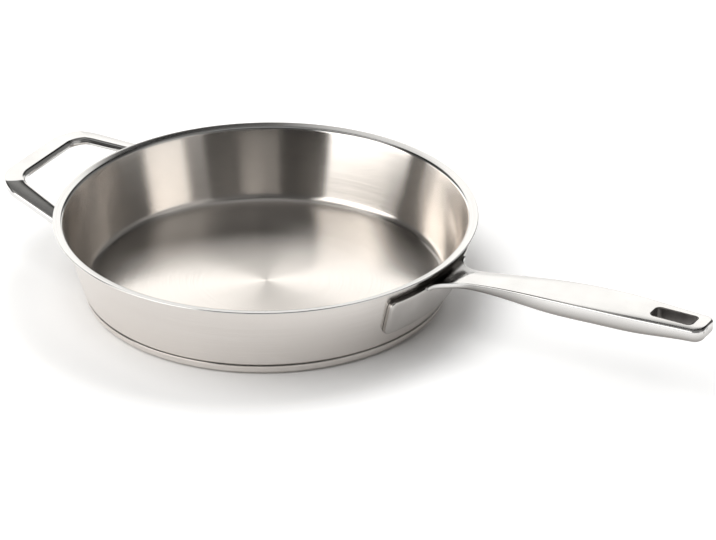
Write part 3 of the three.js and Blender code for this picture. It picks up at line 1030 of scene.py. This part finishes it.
def barSection(width):
    edge, inner, low = loop["edge"], loop["innerEdge"], loop["edge"] - loop["thickness"]
    side = width / 2 - edge
    innerTop = width / 2 - inner
    section = arcPoints((side, low), edge, -quarterTurn, 0, loop["underEdgeSteps"])
    section += arcPoints((innerTop, -inner), inner, 0, quarterTurn, loop["innerEdgeSteps"])
    section += straight((innerTop, 0.0), (-side, 0.0), loop["faceSteps"])
    section += arcPoints((-side, -edge), edge, quarterTurn, math.pi, loop["outerEdgeSteps"])
    return section + arcPoints((-side, low), edge, math.pi, 3 * quarterTurn, loop["underEdgeSteps"])


def loopRings():
    support, steps = loop["creaseSupport"], loop["bendSteps"]
    half = []
    for share in spread(0.0, 1.0, loop["armSteps"]):
        half.append((armPoint, share, mix(loop["rootWidth"], loop["barWidth"], share)))
    for step in [*spread(-1.0, -support, steps)[1:], 0.0, *spread(support, 1.0, steps)]:
        half.append((bendPoint, step, loop["barWidth"]))
    rings = []
    for side, rows in ((-1, half), (1, half[::-1])):
        for pointAt, share, width in rows:
            ring = []
            for inward, up in barSection(width):
                plan = pointAt(share, inward)
                top = loop["top"] - armGrade * max(0.0, pastCrease(plan, inward))
                ring.append((-plan.x, -side * plan.y, top + up))
            rings.append(ring)
    return rings


loopBar = loftPiece("loop_bar", loopRings())
cutBy(loopBar, cone)
smoothShade(loopBar)
dress(loopBar, handlePolish)
standIn(loopBar, "handle_steel", "loop_handle")

for side, turn in (("right", math.pi + footAngle), ("left", math.pi - footAngle)):
    foot = wallPlate(
        "loop_plate_" + side, plate["footHalfAngle"], plate["footTop"], turn, plate["footColumns"],
    )
    standIn(foot, "handle_steel", "loop_foot_" + side)

for tool in (cone, slotSeat, hollow):
    bpy.data.objects.remove(tool)

# the hidden core and tongue stay as CAD solids
dress(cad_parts["base_core"], coreMetal)
dress(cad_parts["handle_tongue"], tongueSteel)
print("handles made")


# white table, studio surround and lamps

studio = {
    "tableRadius": 0.62,
    "tableTop": -0.1 * mm,
    "tableSegments": 96,
    "tableColour": (0.92, 0.915, 0.905),
    "paperShade": 0.985,  # of the table's colour, its darker patches
    "paperScale": 3.0,
    # away from the pan the table shines a little, so that it runs out to white
    "glowCentre": (-0.012, -0.012, 0.0),
    "glowNear": 0.03,
    "glowFar": 0.36,
    "glowSpan": (0.15, 0.2),
    "zenith": (0.3, 0.3, 0.3),
    "backdrop": (1.0, 1.0, 1.0),
    "softness": 3.0,  # how softly the cards meet, in degrees
    "warmth": (1.0, 0.985, 0.96),
    # rows of cards round the pan: how high the row reaches, then where each card ends and how bright it is
    "rows": (
        (14.0, (
            (-160, 2.2), (-147, 0.2), (-96, 2.8), (-69, 0.0), (-54, 0.03), (-24, 0.0), (-12, 0.36),
            (12, 1.05), (30, 0.45), (90, 0.25), (150, 1.1), (180, 2.2),
        )),
        (38.0, (
            (-147, 0.1), (-96, 2.7), (-69, 0.06), (-24, 0.13), (-12, 0.5), (12, 0.42), (30, 0.3),
            (52, 0.2), (80, 0.2), (105, 0.06), (150, 1.45), (180, 0.14),
        )),
        (49.0, (
            (-147, 0.1), (-96, 2.1), (-54, 0.1), (-12, 0.2), (30, 0.55), (80, 0.08), (124, 0.0),
            (143, 1.0), (180, 0.0),
        )),
        (56.0, (
            (-147, 0.1), (-96, 2.1), (-54, 0.1), (-12, 0.2), (30, 0.55), (80, 0.08), (105, 0.0),
            (150, 0.18), (180, 0.0),
        )),
        (74.0, ((-105, 0.12), (-15, 0.05), (75, 0.24), (165, 0.18), (180, 1.6))),
    ),
    # soft lamps that light the table and are not mirrored in the steel: azimuth, elevation, size and power
    "lamps": {
        "front_left_softbox": (-120.0, 55.0, 3.2, 58.0),
        "back_softbox": (110.0, 55.0, 2.2, 17.0),
        "back_right_softbox": (70.0, 55.0, 2.2, 7.0),
    },
    "lampDistance": 2.2,
}


def tableFinish():
    material = bpy.data.materials.new("white_table")
    tree = emptyTree(material)
    place = objectPlace(tree)
    light = studio["tableColour"]
    dark = tuple(c * studio["paperShade"] for c in light)
    paper = tintOf(tree, noiseOf(tree, place, studio["paperScale"]), dark, light)
    matte = addNode(tree, "ShaderNodeBsdfDiffuse", {"Color": paper}).outputs["BSDF"]
    rays = addNode(tree, "ShaderNodeLightPath").outputs
    mirrored = calc(tree, "MAXIMUM", rays["Is Glossy Ray"], rays["Is Transmission Ray"])
    seen = calc(tree, "MAXIMUM", rays["Is Camera Ray"], mirrored)
    away = vectorCalc(tree, "DISTANCE", "Value", {0: place, 1: studio["glowCentre"]})
    shine = rangeOf(tree, away, studio["glowNear"], studio["glowFar"], studio["glowSpan"], "SMOOTHSTEP")
    glow = addNode(tree, "ShaderNodeEmission", {"Strength": calc(tree, "MULTIPLY", seen, shine)})
    both = addNode(tree, "ShaderNodeAddShader", {0: matte, 1: glow.outputs["Emission"]}).outputs["Shader"]
    addNode(tree, "ShaderNodeOutputMaterial", {"Surface": both})
    return material


def cardRow(tree, share, cards):
    # brightness round the pan as one ramp with soft steps
    ramp = addNode(tree, "ShaderNodeValToRGB", {"Fac": share})
    elements = ramp.color_ramp.elements
    angles, levels = [], []
    begin = -180.0
    for end, level in cards:
        angles += [begin + studio["softness"] / 2, end - studio["softness"] / 2]
        levels += [level, level]
        begin = end
    while len(elements) < len(angles):
        elements.new(0.5)
    for element, angle in zip(elements, angles):
        element.position = (angle + 180.0) / 360.0
    for element, level in zip(elements, levels):
        element.color = (*(level * c for c in studio["warmth"]), 1.0)
    return ramp.outputs["Color"]


def studioWorld():
    world = bpy.data.worlds.new("studio_surround")
    tree = emptyTree(world)
    axes = axesOf(tree, addNode(tree, "ShaderNodeTexCoord").outputs["Generated"])
    turn = calc(tree, "ARCTAN2", axes["Y"], axes["X"])
    share = rangeOf(tree, turn, 0.0, 1.0, (-math.pi, math.pi))
    above = (*studio["zenith"], 1.0)
    for reach, cards in reversed(studio["rows"]):
        edges = [math.sin(math.radians(reach + side * studio["softness"])) for side in (-1, 1)]
        rise = rangeOf(tree, axes["Z"], 0.0, 1.0, edges, "SMOOTHSTEP")
        above = blend(tree, rise, cardRow(tree, share, cards), above)
    rays = addNode(tree, "ShaderNodeLightPath").outputs
    shown = blend(tree, rays["Is Camera Ray"], above, (*studio["backdrop"], 1.0))
    sky = addNode(tree, "ShaderNodeBackground", {"Color": shown, "Strength": 1.0}).outputs["Background"]
    addNode(tree, "ShaderNodeOutputWorld", {"Surface": sky})
    # the cards are mirrored in the steel, and the lamps light the table
    world.cycles_visibility.diffuse = False
    return world


def addLamp(name, azimuth, elevation, size, power):
    lampData = bpy.data.lights.new(name, "AREA")
    lampData.shape = "DISK"
    lampData.size = size
    lampData.energy = power
    lamp = addObject(name, lampData)
    aim = pointing(math.radians(azimuth), math.radians(elevation))
    lamp.location = aim * studio["lampDistance"]
    lamp.rotation_mode = "QUATERNION"
    lamp.rotation_quaternion = aim.to_track_quat("Z", "Y")
    lamp.visible_glossy = False


tableEdge = arcPoints((0.0, 0.0), studio["tableRadius"], 0.0, fullTurn, studio["tableSegments"])[:-1]
table = meshObject(
    "studio_table", [(x, y, studio["tableTop"]) for x, y in tableEdge], [tuple(range(len(tableEdge)))],
)
dress(table, tableFinish())
bpy.context.scene.world = studioWorld()
for name, settings in studio["lamps"].items():
    addLamp(name, *settings)

bpy.context.scene.view_settings.view_transform = "Standard"
print("studio set")
